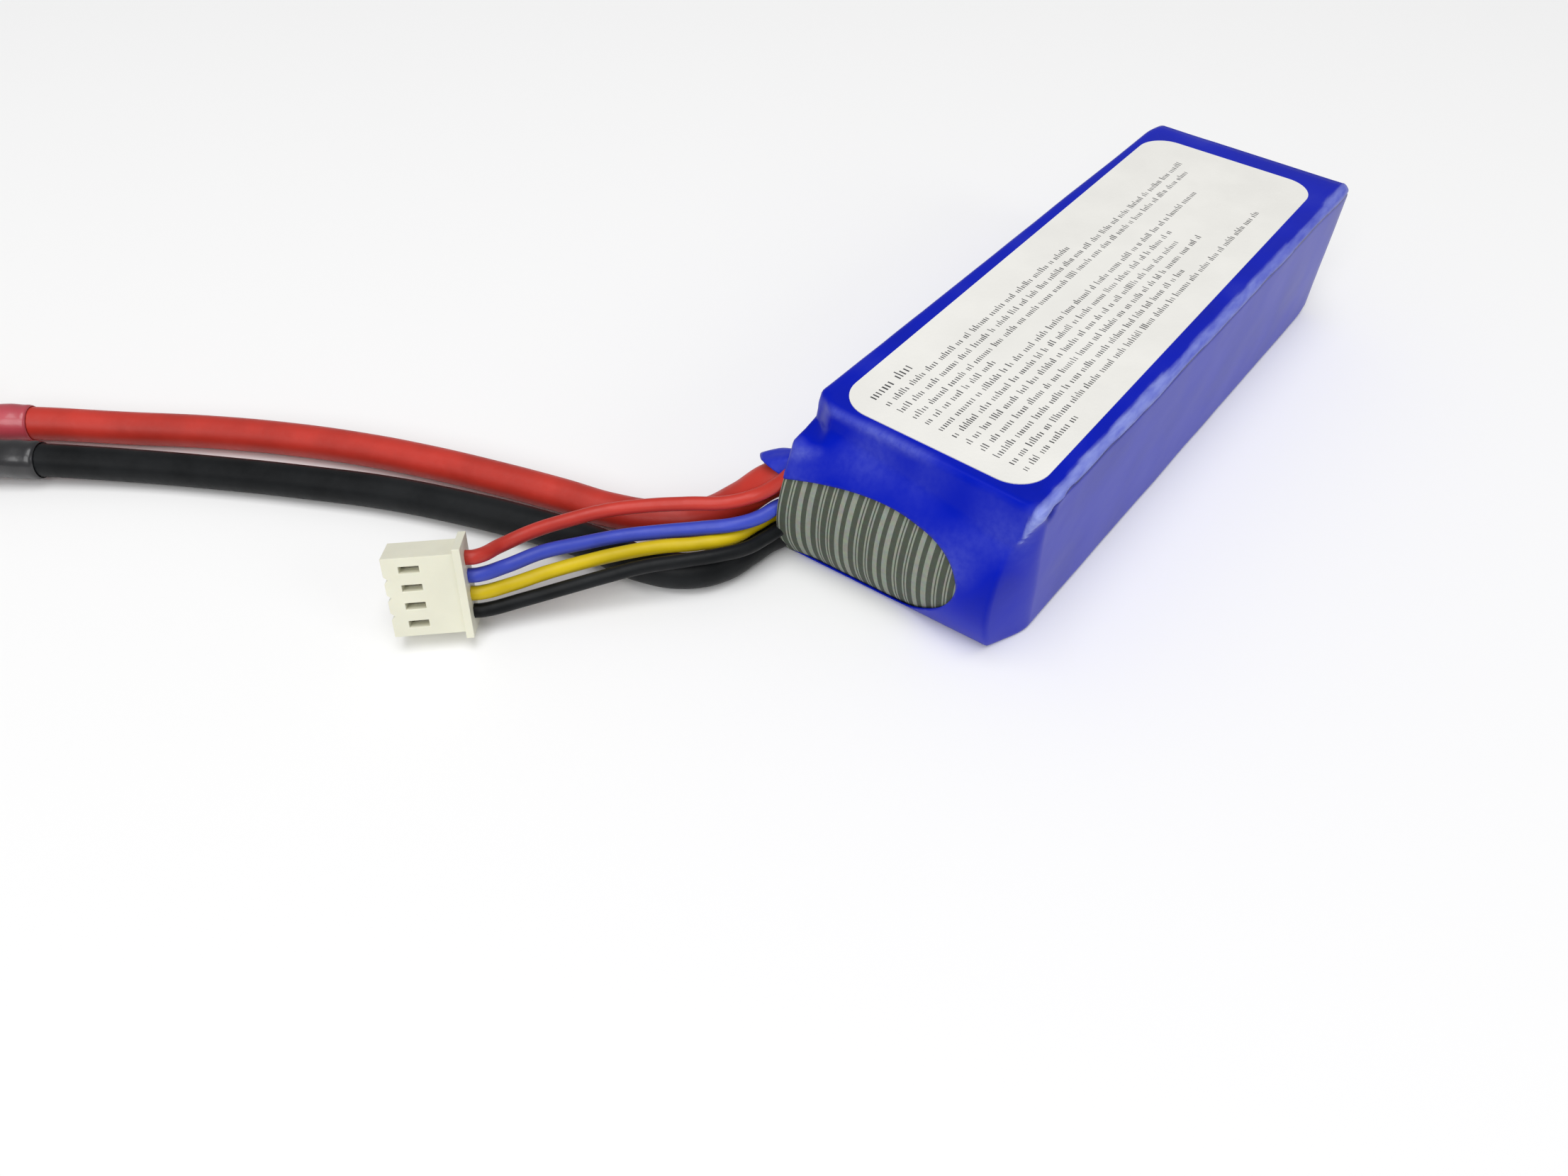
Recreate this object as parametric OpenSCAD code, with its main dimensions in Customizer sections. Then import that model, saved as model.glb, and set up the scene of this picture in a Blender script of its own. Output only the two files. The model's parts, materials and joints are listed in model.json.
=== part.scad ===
// Three-cell lithium polymer battery pack for models.
// Millimetres. The origin is at the middle of the pack's underside, +X runs along
// the pack to its plain end, and the leads leave at the -X end on the +Y side.

/* [Pack body] */
// Length of the box-shaped part that holds the cells
body_l = 94; // [86:1:110]
// Width of the pack
body_w = 33.6; // [33:0.1:38]
// Height of the pack without its label
body_h = 23.4; // [23:0.1:28]
// Radius of the long edges
edge_r = 1.2; // [0.6:0.1:2]
// Thickness of the shrink film
film_t = 0.4; // [0.3:0.05:0.5]

/* [Lead end] */
// How far the rounded nose reaches past the cells, on the side where the leads leave
nose_l = 9.6; // [9.4:0.1:11]
// Radius of the nose, seen from the side
nose_r = 16; // [15:0.5:18]
// Height of the foremost point of the nose
nose_z = 8.3; // [7.5:0.1:9]
// Angle by which the nose is turned towards the leads
nose_skew = 4; // [0:1:5]
// Length of the step at the top of the lead end
shelf_l = 2.8; // [2:0.1:3.4]
// Thickness of the striped end paper
paper_t = 0.3; // [0.2:0.05:0.35]

/* [Cells] */
// Thickness of one cell
cell_t = 7.2; // [6.8:0.1:7.2]
// Width of one cell
cell_w = 32; // [31:0.1:32.2]
// Thickness of the tape between two cells
tape_t = 0.3; // [0.1:0.05:0.3]
// Width of a cell tab
tab_w = 8; // [6:0.5:8]
// Thickness of a cell tab
tab_t = 0.2; // [0.1:0.05:0.3]

/* [Label] */
// Length of the label
label_l = 89.4; // [60:0.2:90]
// Width of the label
label_w = 28; // [20:0.5:29]
// Radius of the label's corners
label_r = 4.6; // [1:0.2:8]
// Thickness of the label
label_t = 0.12; // [0.1:0.02:0.2]

/* [Leads] */
// Outside diameter of a main lead
main_d = 4.9; // [4.4:0.1:4.9]
// Diameter of a main lead's conductor
main_core_d = 2.9; // [2.4:0.1:3]
// Outside diameter of a balance lead
balance_d = 1.9; // [1.6:0.1:1.9]
// Wall of the shrink sleeve over the end of a main lead
sleeve_t = 0.3; // [0.2:0.05:0.4]

/* [Power connector] */
// Length of the housing
power_l = 16; // [15:0.5:20]
// Width of the housing
power_w = 15.9; // [15:0.1:17]
// Height of the housing
power_h = 8.1; // [7.6:0.1:8.2]
// Distance between the two poles
pole_pitch = 7.2; // [7:0.1:7.5]
// Bore of a bullet socket
socket_d = 3.5; // [3:0.1:3.6]

/* [Balance plug] */
// Distance between two circuits
plug_pitch = 2.5; // [2.4:0.1:2.6]
// Length of the plug from its mating end to its wire end
plug_l = 9.8; // [8:0.2:12]
// Thickness of the plug's body
plug_t = 4.9; // [4.5:0.1:5.2]
// Thickness of the flange at the plug's wire end
flange_t = 1; // [0.8:0.1:1.4]

/* [Hidden] */
$fn = 48;

// Stations along the pack
rear_x = (body_l + nose_l) / 2;
tip_x = -rear_x;
cells_x = tip_x + nose_l;
shelf_x = cells_x - shelf_l;
nose_x = tip_x + nose_r / cos(nose_skew) + tan(nose_skew) * body_w / 2;

// Cell stack
cell_gap = 0.6;
cell_step = cell_t + tape_t;
cell_front_x = cells_x + 0.8;
cell_rear_x = rear_x - 1.6;
// The pad behind the cells is smaller than they are, for the film's rounded edges
pad_inset = 0.9;
terrace_l = 1.1;
terrace_x = cell_front_x - terrace_l;

// Circuit board, with the tabs soldered flat on its rear face
board_t = 0.8;
board_rear_x = terrace_x - 1;
board_x = board_rear_x - board_t;
board_y = [-13.6, 9.4];
board_z = [1.6, 18.6];
tab_y = [-9, 4];

// Leads start beside the board's end, at these distances from the middle plane
lead_y = 9.8;
main_r = main_d / 2;
balance_r = balance_d / 2;
sleeve_r = main_r + 0.15;

// Power connector: its rear face, heading and the parts behind that face
power_at = [-116.3, 128.2, 4.05];
power_turn = 131;
contact_r = 2.25;
cup_l = 5;
cup_r = 1.8;
lead_end_x = -5.6;
socket_l = 10;
contact_recess = 0.5;

// Balance plug: its mating end, heading and lean; it stands on its black edge
plug_at = [-91.8, 46.6, 6.85];
plug_turn = -45;
plug_lean = 69;
plug_w = 3 * plug_pitch + 3.3;
flange_w = plug_w + 1.5;
channel_w = 1.5;

// Hand-chosen points of the leads' routes, from the board outwards
MAIN_RED_ROUTE = [
  [-45.8, 9.8, 12.5], [-46, 13.4, 12.2], [-46.5, 17.2, 11.6], [-48.6, 20.2, 10],
  [-51.3, 23.4, 6.6], [-54.4, 27.6, 3.3], [-57.8, 32.6, 2.5], [-60.8, 38.6, 2.5],
  [-63.2, 46.6, 2.5], [-66.7, 57, 2.5], [-70.3, 66.6, 2.5], [-74.5, 76.2, 2.5],
  [-79.9, 86.6, 2.5], [-86.5, 97.4, 2.5], [-93.9, 107.8, 2.6], [-102.1, 118.6, 3.2],
  [-106.1, 122.8, 3.7]
];
MAIN_BLACK_ROUTE = [
  [-45.8, 9.8, 3.1], [-46.2, 13.3, 3.1], [-47.8, 16.5, 3], [-50.8, 18.6, 2.7],
  [-54.8, 19.4, 2.5], [-59.2, 20.2, 2.5], [-63, 22.9, 2.5], [-65.7, 28, 2.5],
  [-67.1, 35.6, 2.5], [-70, 45.6, 2.5], [-73.9, 56, 2.5], [-78.3, 66, 2.5],
  [-83.7, 76, 2.5], [-90.1, 87, 2.5], [-97.3, 98.4, 2.6], [-105.5, 109.6, 3.2],
  [-110.6, 115.9, 3.7]
];
BALANCE_RED_ROUTE = [
  [-45.3, 9.8, 16.3], [-46.8, 12.8, 16.1], [-48.6, 15.4, 14.9], [-50.6, 17.4, 12.4],
  [-52.6, 19.6, 10.5], [-55.6, 22, 10], [-58.8, 26, 9.8], [-62.2, 30.4, 9.3],
  [-66, 34.1, 9], [-70.2, 36.7, 8.9], [-74.6, 38.7, 9], [-79, 39.9, 9.1]
];
BALANCE_BLUE_ROUTE = [
  [-45.4, 9.8, 8.9], [-46.8, 12.6, 8.9], [-48.5, 15.1, 9], [-50.7, 17, 8.8],
  [-53.5, 18, 8.3], [-56.4, 19.7, 8.1], [-59.4, 23.2, 7.5], [-62.8, 27.2, 7],
  [-67, 30.8, 7.1], [-71.4, 33.6, 7.4], [-75.8, 36, 7.8], [-80.2, 38, 7.5]
];
BALANCE_YELLOW_ROUTE = [
  [-45.4, 9.8, 6.8], [-46.6, 12.8, 6.8], [-48, 15.7, 6.7], [-50, 17.9, 6.4],
  [-53.3, 18.9, 6.2], [-57, 19.8, 6.1], [-60.6, 22.4, 6.1], [-64.4, 26.1, 6.1],
  [-68.6, 29.2, 6.2], [-72.7, 31.9, 6.1], [-76.8, 34.4, 5.9], [-80.8, 36.8, 5.4]
];
BALANCE_BLACK_ROUTE = [
  [-47.6, 9.8, 6.7], [-48.5, 12.2, 6.4], [-49.5, 14.5, 5.8], [-51, 16.2, 5.4],
  [-53.8, 16.8, 5.4], [-57, 17.3, 5.7], [-60.4, 19, 6], [-64.2, 22, 6],
  [-68.2, 25.5, 5.8], [-72.2, 28.6, 5.2], [-76.4, 31.7, 4.5], [-80.8, 35, 3.7]
];

// ---------------------------------------------------------------- placing helpers

function turn_z(p, a) = [p.x * cos(a) - p.y * sin(a), p.x * sin(a) + p.y * cos(a), p.z];
function turn_x(p, a) = [p.x, p.y * cos(a) - p.z * sin(a), p.y * sin(a) + p.z * cos(a)];

// A point given in the power connector's or the plug's own frame
function power_point(p) = power_at + turn_z(p, power_turn);
function plug_point(p) = plug_at + turn_z(turn_x(p, plug_lean), plug_turn);

// Height of a cell's middle and of a circuit's position across the plug
function cell_z(i) = cell_gap + cell_t / 2 + i * cell_step;
function circuit_y(i) = (1.5 - i) * plug_pitch;
function pole_y(i) = (i - 0.5) * pole_pitch;

module in_power_frame() {
  translate(power_at) rotate([0, 0, power_turn]) children();
}

module in_plug_frame() {
  translate(plug_at) rotate([0, 0, plug_turn]) rotate([plug_lean, 0, 0]) children();
}

// ---------------------------------------------------------------- shape helpers

// A box given by its lowest and highest corners
module span(low, high) {
  translate(low) cube(high - low);
}

// A rectangle with round corners, centred on the origin
module round_rect(w, h, r) {
  square([w - 2 * r, h], center = true);
  square([w, h - 2 * r], center = true);
  for (x = [-1, 1], y = [-1, 1])
    translate([x * (w / 2 - r), y * (h / 2 - r)]) circle(r = r);
}

// A prism along +X, standing on the profile's own Y and Z
module along_x(from_x, to_x) {
  translate([from_x, 0, 0])
    rotate([90, 0, 90])
      linear_extrude(to_x - from_x) children();
}

// A rod between two points
module rod(a, b, r) {
  d = b - a;
  translate(a)
    rotate([0, acos(d.z / norm(d)), atan2(d.y, d.x)])
      cylinder(r = r, h = norm(d));
}

function unit(v) = v / norm(v);
function heading(path, i) =
  unit(path[min(i + 1, len(path) - 1)] - path[max(i - 1, 0)]);

// The ring of points round station i of a path
function ring(path, i, r, sides) =
  let (ahead = heading(path, i),
       across = unit(cross([0, 0, 1], ahead)),
       over = cross(ahead, across))
  [for (k = [0 : sides - 1])
    let (a = 360 * k / sides) path[i] + r * (cos(a) * across + sin(a) * over)];

// A round tube swept along a path, with one ring at each of its points
module tube(path, r, sides) {
  last = len(path) - 1;
  polyhedron(
    points = [for (i = [0 : last]) each ring(path, i, r, sides)],
    faces = concat(
      [[for (k = [0 : sides - 1]) k]],
      [[for (k = [sides - 1 : -1 : 0]) last * sides + k]],
      [for (i = [0 : last - 1], k = [0 : sides - 1])
        let (a = i * sides + k, b = i * sides + (k + 1) % sides)
        [a, a + sides, b + sides, b]]
    )
  );
}

// ---------------------------------------------------------------- wrap and papers

// The round front of the nose, as a cylinder that lies across the pack
module nose_drum(r) {
  translate([nose_x, 0, nose_z])
    rotate([0, 0, nose_skew])
      rotate([90, 0, 0])
        cylinder(r = r, h = 2 * body_w, center = true, $fn = 96);
}

// The pack's outer form, or the same form drawn in by an inset
module pack_form(inset) {
  half_w = body_w / 2 - inset;
  intersection() {
    union() {
      along_x(shelf_x + inset, rear_x - inset)
        translate([0, body_h / 2])
          round_rect(2 * half_w, body_h - 2 * inset, edge_r - inset / 2);
      intersection() {
        nose_drum(nose_r - inset);
        span([tip_x - 2, -half_w, inset], [cells_x + 2, half_w, body_h - inset]);
      }
    }
    // The corner away from the leads is drawn in
    linear_extrude(body_h)
      polygon([
        [rear_x, -body_w], [rear_x, body_w], [tip_x - 2, body_w],
        [tip_x - 2, -body_w / 2 + 3 + inset], [cells_x - 5.2, -body_w / 2 + 2.4 + inset],
        [cells_x - 1, -body_w / 2 + inset], [cells_x - 1, -body_w]
      ]);
  }
}

// Outline of the film's opening, seen from the front
module opening_outline() {
  translate([-2.4, 8.7]) circle(r = 7.4, $fn = 96);
  polygon([[-2.4, 1.3], [-2.4, 16.1], [3, 16.3], [14.8, 15.8], [14.8, 1.3]]);
}

module shrink_wrap() {
  color("mediumblue")
    difference() {
      pack_form(0);
      pack_form(film_t);
      along_x(tip_x - 4, cells_x - 1.4) opening_outline();
      // The hole that the leads leave through
      span([tip_x - 4, 14.7, film_t], [cells_x - 1.2, body_w, 15.8]);
    }
}

module label() {
  color("whitesmoke")
    translate([1.3, 0.5, body_h])
      rotate([0, 0, 0.75])
        linear_extrude(label_t) round_rect(label_l, label_w, label_r);
}

// The striped paper behind the film's opening
module end_paper() {
  outer_r = nose_r - film_t - 0.05;
  color("darkseagreen")
    intersection() {
      difference() {
        nose_drum(outer_r);
        nose_drum(outer_r - paper_t);
      }
      span([tip_x, -12.6, film_t + 0.1], [cells_x - 2, 15.2, 17.8]);
    }
}

// Foam that fills the nose beside the soldered leads
module nose_foam() {
  color("dimgray")
    intersection() {
      nose_drum(nose_r - film_t - paper_t - 0.15);
      span([tip_x, -12.4, 1.2], [board_x - 0.2, 1.6, 17.4]);
    }
}

module rear_pad() {
  color("dimgray")
    span([cell_rear_x + 0.1, -cell_w / 2 + pad_inset, cell_gap + pad_inset],
         [rear_x - film_t - 0.1, cell_w / 2 - pad_inset, body_h - cell_gap - pad_inset]);
}

// ---------------------------------------------------------------- cells and tabs

// A pouch cell: its body, the folded side seams and the terrace that the tabs leave
module cell(i) {
  color("silver")
    translate([0, 0, cell_z(i)]) {
      along_x(cell_front_x, cell_rear_x) round_rect(cell_w - 0.6, cell_t, 1);
      for (side = [-1, 1])
        translate([(cell_front_x + cell_rear_x) / 2, side * (cell_w / 2 - 0.2), 0])
          cube([cell_rear_x - cell_front_x - 3, 0.4, 4.6], center = true);
      span([terrace_x, -14.5, -0.3], [cell_front_x + 1, 14.5, 0.3]);
    }
}

module cell_tape(i) {
  color("white")
    span([cell_front_x + 3, -13, cell_z(i) + cell_t / 2],
         [cell_rear_x - 3, 13, cell_z(i) + cell_t / 2 + tape_t]);
}

// A tab leaves its cell, meets the board's rear face and is bent along it to end_z
module tab(i, y, end_z, metal) {
  z = cell_z(i);
  color(metal) {
    span([board_rear_x, y - tab_w / 2, z - tab_t / 2],
         [terrace_x, y + tab_w / 2, z + tab_t / 2]);
    span([board_rear_x, y - tab_w / 2, min(z - tab_t / 2, end_z)],
         [board_rear_x + tab_t, y + tab_w / 2, max(z + tab_t / 2, end_z)]);
  }
}

// Where neighbouring tabs meet end to end on the board
joint_low_z = (cell_z(0) + cell_z(1)) / 2;
joint_high_z = (cell_z(1) + cell_z(2)) / 2;
tab_gap = 0.1;

module tab_bottom_negative() {
  tab(0, tab_y[0], cell_z(0) - 2, "silver");
}

module tab_bottom_positive() {
  tab(0, tab_y[1], joint_low_z - tab_gap, "lightgray");
}

module tab_middle_negative() {
  tab(1, tab_y[1], joint_low_z + tab_gap, "silver");
}

module tab_middle_positive() {
  tab(1, tab_y[0], joint_high_z - tab_gap, "lightgray");
}

module tab_top_negative() {
  tab(2, tab_y[0], joint_high_z + tab_gap, "silver");
}

module tab_top_positive() {
  tab(2, tab_y[1], joint_high_z - 0.2, "lightgray");
}

// The sealing film strips round the tabs, in front of each terrace
module tab_films() {
  color("ivory")
    for (i = [0 : 2], y = tab_y)
      difference() {
        span([terrace_x - 0.4, y - tab_w / 2 - 0.7, cell_z(i) - 0.3],
             [terrace_x, y + tab_w / 2 + 0.7, cell_z(i) + 0.3]);
        span([terrace_x - 1, y - tab_w / 2, cell_z(i) - tab_t / 2],
             [terrace_x + 1, y + tab_w / 2, cell_z(i) + tab_t / 2]);
      }
}

// ---------------------------------------------------------------- board and joints

module circuit_board() {
  color("darkgreen")
    span([board_x, board_y[0], board_z[0]], [board_rear_x, board_y[1], board_z[1]]);
}

// A bead of solder across a tab's end, on the face away from the board
module tab_bead(y, z) {
  x = board_rear_x + tab_t;
  intersection() {
    translate([x, y, z]) rotate([90, 0, 0]) cylinder(r = 0.45, h = 6, center = true);
    span([x, y - 4, z - 1], [x + 1, y + 4, z + 1]);
  }
}

module solder_tabs() {
  color("gainsboro") {
    tab_bead(tab_y[1], joint_low_z);
    tab_bead(tab_y[0], joint_high_z);
    tab_bead(tab_y[0], cell_z(0) - 1.4);
    tab_bead(tab_y[1], joint_high_z + 0.6);
  }
}

main_core_x = MAIN_RED_ROUTE[0].x;
main_core_z = [MAIN_RED_ROUTE[0].z, MAIN_BLACK_ROUTE[0].z];

// The bare ends of the main leads on the board
module main_conductors() {
  color("goldenrod")
    for (z = main_core_z)
      rod([main_core_x, 3, z], [main_core_x, lead_y, z], main_core_d / 2);
}

// The bare ends of the main leads in the connector's solder cups
module cup_conductors() {
  color("goldenrod")
    in_power_frame()
      for (i = [0, 1])
        translate([lead_end_x, pole_y(i), 0])
          rotate([0, 90, 0]) cylinder(d = main_core_d, h = cup_l - 0.4);
}

// Bare end of each balance lead: where the insulation stops and where it is soldered
BALANCE_ENDS = [
  [BALANCE_RED_ROUTE[0], [board_x - 0.6, 7.4, 16.3]],
  [BALANCE_BLUE_ROUTE[0], [board_x - 0.6, 7.4, 8.9]],
  [BALANCE_YELLOW_ROUTE[0], [board_x - 0.6, 7.4, 6.8]],
  [BALANCE_BLACK_ROUTE[0], [board_x - 0.6, 4.4, 7.3]]
];

module balance_conductors() {
  color("goldenrod")
    for (ends = BALANCE_ENDS) rod(ends[0], ends[1], 0.35);
}

// Solder under the bare ends of the main leads
module solder_main() {
  color("gainsboro")
    for (z = main_core_z)
      difference() {
        span([main_core_x, 3.4, z - 1.6], [board_x, 8.8, z + 1.6]);
        rod([main_core_x, 0, z], [main_core_x, 12, z], main_core_d / 2);
      }
}

// A drop of solder round the bare end of each balance lead
module solder_balance() {
  color("gainsboro")
    for (ends = BALANCE_ENDS)
      difference() {
        translate([board_x, ends[1].y, ends[1].z])
          rotate([0, -90, 0]) cylinder(r1 = 0.95, r2 = 0.7, h = 1.2);
        rod(ends[0], ends[1], 0.35);
      }
}

// ---------------------------------------------------------------- leads and sleeves

// A main lead's route, ending just behind its solder cup
function main_path(route, i) = concat(route, [power_point([lead_end_x, pole_y(i), 0])]);

// A balance lead's route, running squarely into the plug's rear face
function balance_path(route, i) = concat(route, [
  plug_point([plug_l + 1.2, circuit_y(i), 0]),
  plug_point([plug_l, circuit_y(i), 0])
]);

module main_lead_red() {
  color("tomato") tube(main_path(MAIN_RED_ROUTE, 0), main_r, 12);
}

module main_lead_black() {
  color("darkslategray") tube(main_path(MAIN_BLACK_ROUTE, 1), main_r, 12);
}

module balance_lead_red() {
  color("red") tube(balance_path(BALANCE_RED_ROUTE, 0), balance_r, 8);
}

module balance_lead_blue() {
  color("royalblue") tube(balance_path(BALANCE_BLUE_ROUTE, 1), balance_r, 8);
}

module balance_lead_yellow() {
  color("gold") tube(balance_path(BALANCE_YELLOW_ROUTE, 2), balance_r, 8);
}

module balance_lead_black() {
  color("darkslategray") tube(balance_path(BALANCE_BLACK_ROUTE, 3), balance_r, 8);
}

// A shrink sleeve over the last stretch of a main lead and over its solder cup
module sleeve(route, i) {
  end = power_point([-0.1, pole_y(i), 0]);
  cup = power_point([lead_end_x, pole_y(i), 0]);
  last = len(route) - 1;
  back = route[last - 1] - 0.5 * unit(route[last] - route[last - 1]);
  difference() {
    tube([route[last - 1], route[last], cup, end], sleeve_r + sleeve_t, 12);
    tube([back, route[last], cup, end + 0.5 * unit(end - cup)], sleeve_r, 12);
  }
}

module sleeve_red() {
  color("indianred") sleeve(MAIN_RED_ROUTE, 0);
}

module sleeve_black() {
  color("black") sleeve(MAIN_BLACK_ROUTE, 1);
}

// ---------------------------------------------------------------- power connector

// Front of the housing: a block whose two corners on one side are cut off
module mating_outline() {
  w = power_w - 0.6;
  h = power_h - 0.6;
  cut = 2.2;
  polygon([
    [-w / 2, -h / 2], [w / 2 - cut, -h / 2], [w / 2, -h / 2 + cut],
    [w / 2, h / 2 - cut], [w / 2 - cut, h / 2], [-w / 2, h / 2]
  ]);
}

module power_connector_housing() {
  grip_l = 7;
  color("gold")
    in_power_frame()
      difference() {
        union() {
          along_x(0, grip_l) round_rect(power_w, power_h, 1);
          along_x(grip_l, power_l) mating_outline();
        }
        // Grooves that give the fingers a hold
        for (x = [2 : 1.6 : 5.2], side = [-1, 1])
          translate([x, 0, side * power_h / 2])
            cube([0.7, power_w - 3, 0.6], center = true);
        for (i = [0, 1])
          translate([-1, pole_y(i), 0])
            rotate([0, 90, 0]) cylinder(r = contact_r + 0.01, h = power_l + 2);
      }
}

// A bullet socket with its solder cup
module power_contact(i) {
  front_x = power_l - contact_recess;
  color("goldenrod")
    in_power_frame()
      translate([0, pole_y(i), 0])
        rotate([0, 90, 0])
          difference() {
            translate([0, 0, -cup_l]) cylinder(r = contact_r, h = front_x + cup_l);
            translate([0, 0, -cup_l - 1]) cylinder(r = cup_r, h = cup_l + 1);
            translate([0, 0, front_x - socket_l]) cylinder(d = socket_d, h = socket_l + 1);
          }
}

module power_contact_positive() {
  power_contact(0);
}

module power_contact_negative() {
  power_contact(1);
}

// ---------------------------------------------------------------- balance plug

module balance_plug_housing() {
  body_end = plug_l - flange_t;
  color("ivory")
    in_plug_frame()
      difference() {
        union() {
          span([0, -plug_w / 2, -plug_t / 2], [body_end, plug_w / 2, plug_t / 2]);
          span([body_end, -flange_w / 2, -plug_t / 2 - 0.4],
               [plug_l, flange_w / 2, plug_t / 2 + 0.4]);
          // Two ribs on the back that key the plug to its socket
          for (y = [-plug_pitch, plug_pitch])
            span([0.8, y - 0.5, -plug_t / 2 - 0.4], [body_end, y + 0.5, -plug_t / 2]);
        }
        for (i = [0 : 3]) {
          y = circuit_y(i);
          // Channel of the terminal, pin entry and the window of its lance
          span([1.2, y - channel_w / 2, -channel_w / 2],
               [plug_l + 1, y + channel_w / 2, channel_w / 2]);
          span([-1, y - 0.5, -0.5], [2, y + 0.5, 0.5]);
          span([2, y - 0.45, 0], [4.5, y + 0.45, plug_t]);
        }
        // Notches between the circuits at the mating end
        for (i = [0 : 2])
          translate([0, circuit_y(i) - plug_pitch / 2, 0])
            rotate([0, 0, 45]) cube([0.7, 0.7, 2 * plug_t], center = true);
      }
}

// A crimp terminal: a box contact in front and the crimped barrel behind it
module plug_terminal(i) {
  half = channel_w / 2 - 0.05;
  color("lightgray")
    in_plug_frame()
      translate([0, circuit_y(i), 0])
        difference() {
          union() {
            span([1.4, -half, -half], [5.4, half, half]);
            span([5.4, -half, -half], [6.4, half, -half + 0.3]);
            along_x(6.4, plug_l - 0.1) circle(r = half);
          }
          span([1, -half + 0.2, -half + 0.2], [5, half - 0.2, half - 0.2]);
          along_x(7.4, plug_l + 1) circle(r = 0.4);
        }
}

module plug_terminal_red() {
  plug_terminal(0);
}

module plug_terminal_blue() {
  plug_terminal(1);
}

module plug_terminal_yellow() {
  plug_terminal(2);
}

module plug_terminal_black() {
  plug_terminal(3);
}

// ---------------------------------------------------------------- assembly

shrink_wrap();
label();
end_paper();
nose_foam();
rear_pad();
cell(0);  // cell_bottom
cell(1);  // cell_middle
cell(2);  // cell_top
cell_tape(0);  // cell_tape_lower
cell_tape(1);  // cell_tape_upper
tab_bottom_negative();
tab_bottom_positive();
tab_middle_negative();
tab_middle_positive();
tab_top_negative();
tab_top_positive();
tab_films();
circuit_board();
solder_tabs();
main_conductors();
balance_conductors();
cup_conductors();
solder_main();
solder_balance();
main_lead_red();
main_lead_black();
balance_lead_red();
balance_lead_blue();
balance_lead_yellow();
balance_lead_black();
sleeve_red();
sleeve_black();
power_connector_housing();
power_contact_positive();
power_contact_negative();
balance_plug_housing();
plug_terminal_red();
plug_terminal_blue();
plug_terminal_yellow();
plug_terminal_black();
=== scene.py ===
"""Lipo battery pack: the look of the part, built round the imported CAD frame."""

import json
import math
import random

import bmesh
import bpy
import numpy as np
from mathutils import Matrix, Vector, noise


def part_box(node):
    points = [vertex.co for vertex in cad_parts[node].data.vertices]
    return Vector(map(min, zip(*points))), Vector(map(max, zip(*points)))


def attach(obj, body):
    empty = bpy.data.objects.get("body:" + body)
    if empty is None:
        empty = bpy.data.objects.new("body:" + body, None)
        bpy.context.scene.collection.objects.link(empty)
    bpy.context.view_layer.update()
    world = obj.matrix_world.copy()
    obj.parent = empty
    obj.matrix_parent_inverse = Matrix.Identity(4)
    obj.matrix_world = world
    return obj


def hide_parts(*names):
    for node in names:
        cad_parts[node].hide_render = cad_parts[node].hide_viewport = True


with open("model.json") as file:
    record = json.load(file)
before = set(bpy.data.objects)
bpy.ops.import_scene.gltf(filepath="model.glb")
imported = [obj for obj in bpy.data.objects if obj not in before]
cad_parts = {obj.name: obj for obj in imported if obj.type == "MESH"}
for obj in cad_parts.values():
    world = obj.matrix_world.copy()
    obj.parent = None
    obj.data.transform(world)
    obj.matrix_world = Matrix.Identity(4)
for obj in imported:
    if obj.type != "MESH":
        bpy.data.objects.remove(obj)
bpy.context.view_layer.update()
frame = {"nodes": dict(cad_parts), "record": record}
nodes = frame["nodes"]
MM = 0.001

# Stations of the pack, in millimetres, taken from the CAD nodes
wrap_low, wrap_high = (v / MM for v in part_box("shrink_wrap"))
HALF_W = wrap_high.y
TOP_Z = wrap_high.z
REAR_X = wrap_high.x
FRONT_X = -45.0
FILM_T = 0.22
NOSE_R = 16.0
NOSE_Z = 8.3
# Value of the film's attribute for whitening and painted light where the film is plain
PLAIN_LIGHT_AND_WHITENING = 0.2


# ---------------------------------------------------------------- camera, lights, floor


def add_camera():
    """The camera, at the photograph's viewing angle."""
    data = bpy.data.cameras.new("camera")
    data.sensor_width = 36
    data.lens = 26.74
    data.clip_start = 0.01
    camera = bpy.data.objects.new("camera", data)
    right = Vector((0.62518, -0.78048, 0.00360))
    up = Vector((0.57347, 0.46247, 0.67620))
    back = right.cross(up)
    turn = Matrix((right, up, back)).transposed().to_4x4()
    camera.matrix_world = Matrix.Translation(Vector((-138.26, -53.39, 115.09)) * MM) @ turn
    bpy.context.scene.collection.objects.link(camera)
    bpy.context.scene.camera = camera


def add_light(name, place, target, size, power):
    """A square softbox at a place, in millimetres, that looks at a target."""
    data = bpy.data.lights.new(name, "AREA")
    data.size = size * MM
    data.energy = power
    light = bpy.data.objects.new(name, data)
    away = Vector(place) - Vector(target)
    light.location = Vector(place) * MM
    light.rotation_mode = "QUATERNION"
    light.rotation_quaternion = away.to_track_quat("Z", "Y")
    bpy.context.scene.collection.objects.link(light)


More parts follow.
